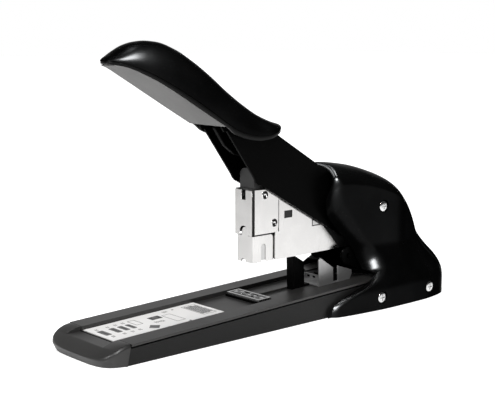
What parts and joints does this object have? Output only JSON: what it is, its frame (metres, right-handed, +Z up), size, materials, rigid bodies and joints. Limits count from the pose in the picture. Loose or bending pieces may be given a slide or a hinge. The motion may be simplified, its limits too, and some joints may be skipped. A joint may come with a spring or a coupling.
{
  "type": "staple gun",
  "caption": "Heavy-duty desktop stapler: long sloping base with anvil and paper stop, hinged staple head with front-loading drawer, lever arm with padded grip, rear housing.",
  "frame": {"origin": "bottom centre of the whole part's box at rest", "axes": "+X from the nose to the rear housing, +Y to the left side, +Z up from the table"},
  "size_m": [0.317, 0.086, 0.1903],
  "materials": {
    "gloss_black": "gloss",
    "moulded_black": "satin",
    "tray_black": "satin",
    "base_satin": "satin",
    "label": "matte",
    "bright_steel": "brushed",
    "nickel": "polished",
    "fastener": "satin",
    "dark_steel": "satin",
    "arm_black": "satin",
    "nylon": "satin",
    "foot_rubber": "matte",
    "spring_steel": "satin",
    "carrier_grey": "satin",
    "rim_grey": "satin",
    "panel_grey": "satin"
  },
  "bodies": {
    "base": {"base_tray": "tray_black", "base_plate": "base_satin", "nose_cap": "base_satin", "guide_label": "label", "anvil_block": "moulded_black", "anvil_plate": "bright_steel", "anvil_screws": "fastener", "frame_bracket": "arm_black", "frame_bolts": "fastener", "pivot_pin": "fastener", "pivot_clips": "dark_steel", "pivot_washers": "nylon", "housing_right": "gloss_black", "housing_left": "gloss_black", "housing_standoffs": "fastener", "housing_screws": "fastener", "rubber_feet": "foot_rubber", "tray_screws": "fastener", "spring_seat": "moulded_black", "lift_spring": "spring_steel"},
    "paper_stop": {"stop_post": "moulded_black", "stop_carriage": "bright_steel", "stop_slider": "moulded_black", "stop_rivets": "bright_steel"},
    "magazine": {"magazine_frame": "dark_steel", "side_plate_right": "nickel", "side_plate_left": "nickel", "head_cheek_right": "nickel", "head_cheek_left": "nickel", "head_front": "nickel", "head_rivets": "fastener", "frame_spacers": "fastener", "feed_roll": "spring_steel", "feed_roll_pin": "fastener", "release_pin": "fastener"},
    "drawer": {"front_gate": "nickel", "staple_channel": "bright_steel", "staple_rail": "bright_steel"},
    "pusher": {"staple_pusher": "dark_steel"},
    "release": {"release_lever": "dark_steel"},
    "driver": {"driver_carrier": "carrier_grey", "driver_blade": "spring_steel", "drive_pin": "fastener"},
    "lever": {"lever_arm": "arm_black", "drive_plate": "arm_black", "handle_shell": "gloss_black", "handle_frame": "rim_grey", "handle_panel": "panel_grey", "handle_core": "moulded_black", "handle_screws": "fastener", "lever_spring": "spring_steel"}
  },
  "joints": [
    {"name": "magazine_hinge", "type": "hinge", "parent": "base", "child": "magazine", "pos_m": [0.112, 0, 0.042], "axis": [0, -1, 0], "range_deg": [0, 9.9], "stiffness_Nm_per_rad": 1.2, "springref_deg": -20.05, "deforming": ["lift_spring"]},
    {"name": "lever_hinge", "type": "hinge", "parent": "magazine", "child": "lever", "pos_m": [0.112, 0, 0.042], "axis": [0, -1, 0], "range_deg": [0, 11.3], "stiffness_Nm_per_rad": 2, "springref_deg": -34.38, "deforming": ["lever_spring"]},
    {"name": "driver_slide", "type": "slide", "parent": "magazine", "child": "driver", "axis": [0, 0, -1], "range_m": [0, 0.0245]},
    {"name": "drawer_slide", "type": "slide", "parent": "magazine", "child": "drawer", "axis": [1, 0, 0], "range_m": [-0.08, 0]},
    {"name": "pusher_slide", "type": "slide", "parent": "magazine", "child": "pusher", "axis": [1, 0, 0], "range_m": [0, 0.07], "stiffness_N_per_m": 20, "springref_m": -0.05, "deforming": ["feed_roll"]},
    {"name": "release_hinge", "type": "hinge", "parent": "magazine", "child": "release", "pos_m": [0.024, 0, 0.066], "axis": [0, -1, 0], "range_deg": [0, 9], "stiffness_Nm_per_rad": 0.02, "springref_deg": -22.92},
    {"name": "stop_slide", "type": "slide", "parent": "base", "child": "paper_stop", "axis": [0.9994, 0, 0.0359], "range_m": [-0.003, 0.016]}
  ],
  "couplings": [
    {"joint": "driver_slide", "follows": "lever_hinge", "m_per_rad": 0.1237}
  ]
}
